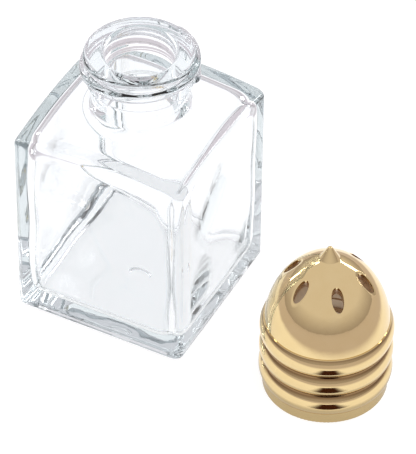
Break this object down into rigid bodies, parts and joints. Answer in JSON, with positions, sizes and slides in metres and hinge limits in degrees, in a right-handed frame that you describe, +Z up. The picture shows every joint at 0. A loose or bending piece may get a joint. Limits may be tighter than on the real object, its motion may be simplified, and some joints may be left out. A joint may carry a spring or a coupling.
{
  "type": "mini glass shaker bottle",
  "caption": "Small square thick-walled glass bottle with a threaded round neck, and a gilt ribbed screw cap with a pointed, perforated dome standing beside it.",
  "frame": {"origin": "centre of the bottle's base, on the surface that the bottle and the cap stand on", "axes": "+Z up along the bottle's neck; the bottle's flat sides face +X, -X, +Y and -Y; the loose cap stands beyond the +X side"},
  "size_m": [0.0627, 0.0326, 0.0485],
  "materials": {
    "clear_glass": "clear, fire-polished",
    "gilt_plating": "moulded plastic with a bright vacuum-plated pale gold metal film"
  },
  "bodies": {
    "bottle": {"glass_bottle": "clear_glass"},
    "cap": {"shaker_cap": "gilt_plating"}
  },
  "joints": [
    {"name": "cap_lift", "type": "slide", "parent": "bottle", "child": "cap", "axis": [0, 0, 1], "range_m": [0, 0.052]}
  ]
}
